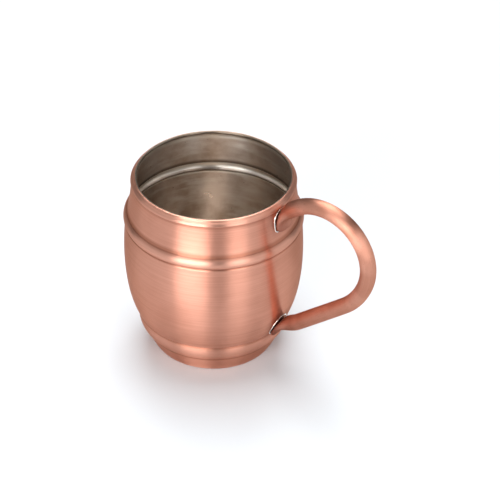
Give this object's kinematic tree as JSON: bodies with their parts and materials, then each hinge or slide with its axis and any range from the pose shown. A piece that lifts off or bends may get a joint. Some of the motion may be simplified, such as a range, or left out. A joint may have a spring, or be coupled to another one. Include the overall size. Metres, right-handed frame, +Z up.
{
  "type": "copper mug",
  "caption": "Barrel-shaped drinking mug of brushed copper with two rolled beads, a tinned inside and a bent tube handle.",
  "frame": {"origin": "on the table, under the centre of the mug", "axes": "+Z up along the barrel's axis, +X from the axis out through the handle, +Y across the handle"},
  "size_m": [0.1389, 0.0886, 0.1069],
  "materials": {
    "copper": "bare copper, brushed around the barrel to a satin",
    "tin": "hand-wiped tin, satin, slightly uneven",
    "braze": "silver braze, bright"
  },
  "bodies": {
    "root": {"barrel_shell": "copper", "tin_lining": "tin", "handle_tube": "copper", "upper_braze": "braze", "lower_braze": "braze"}
  },
  "joints": []
}
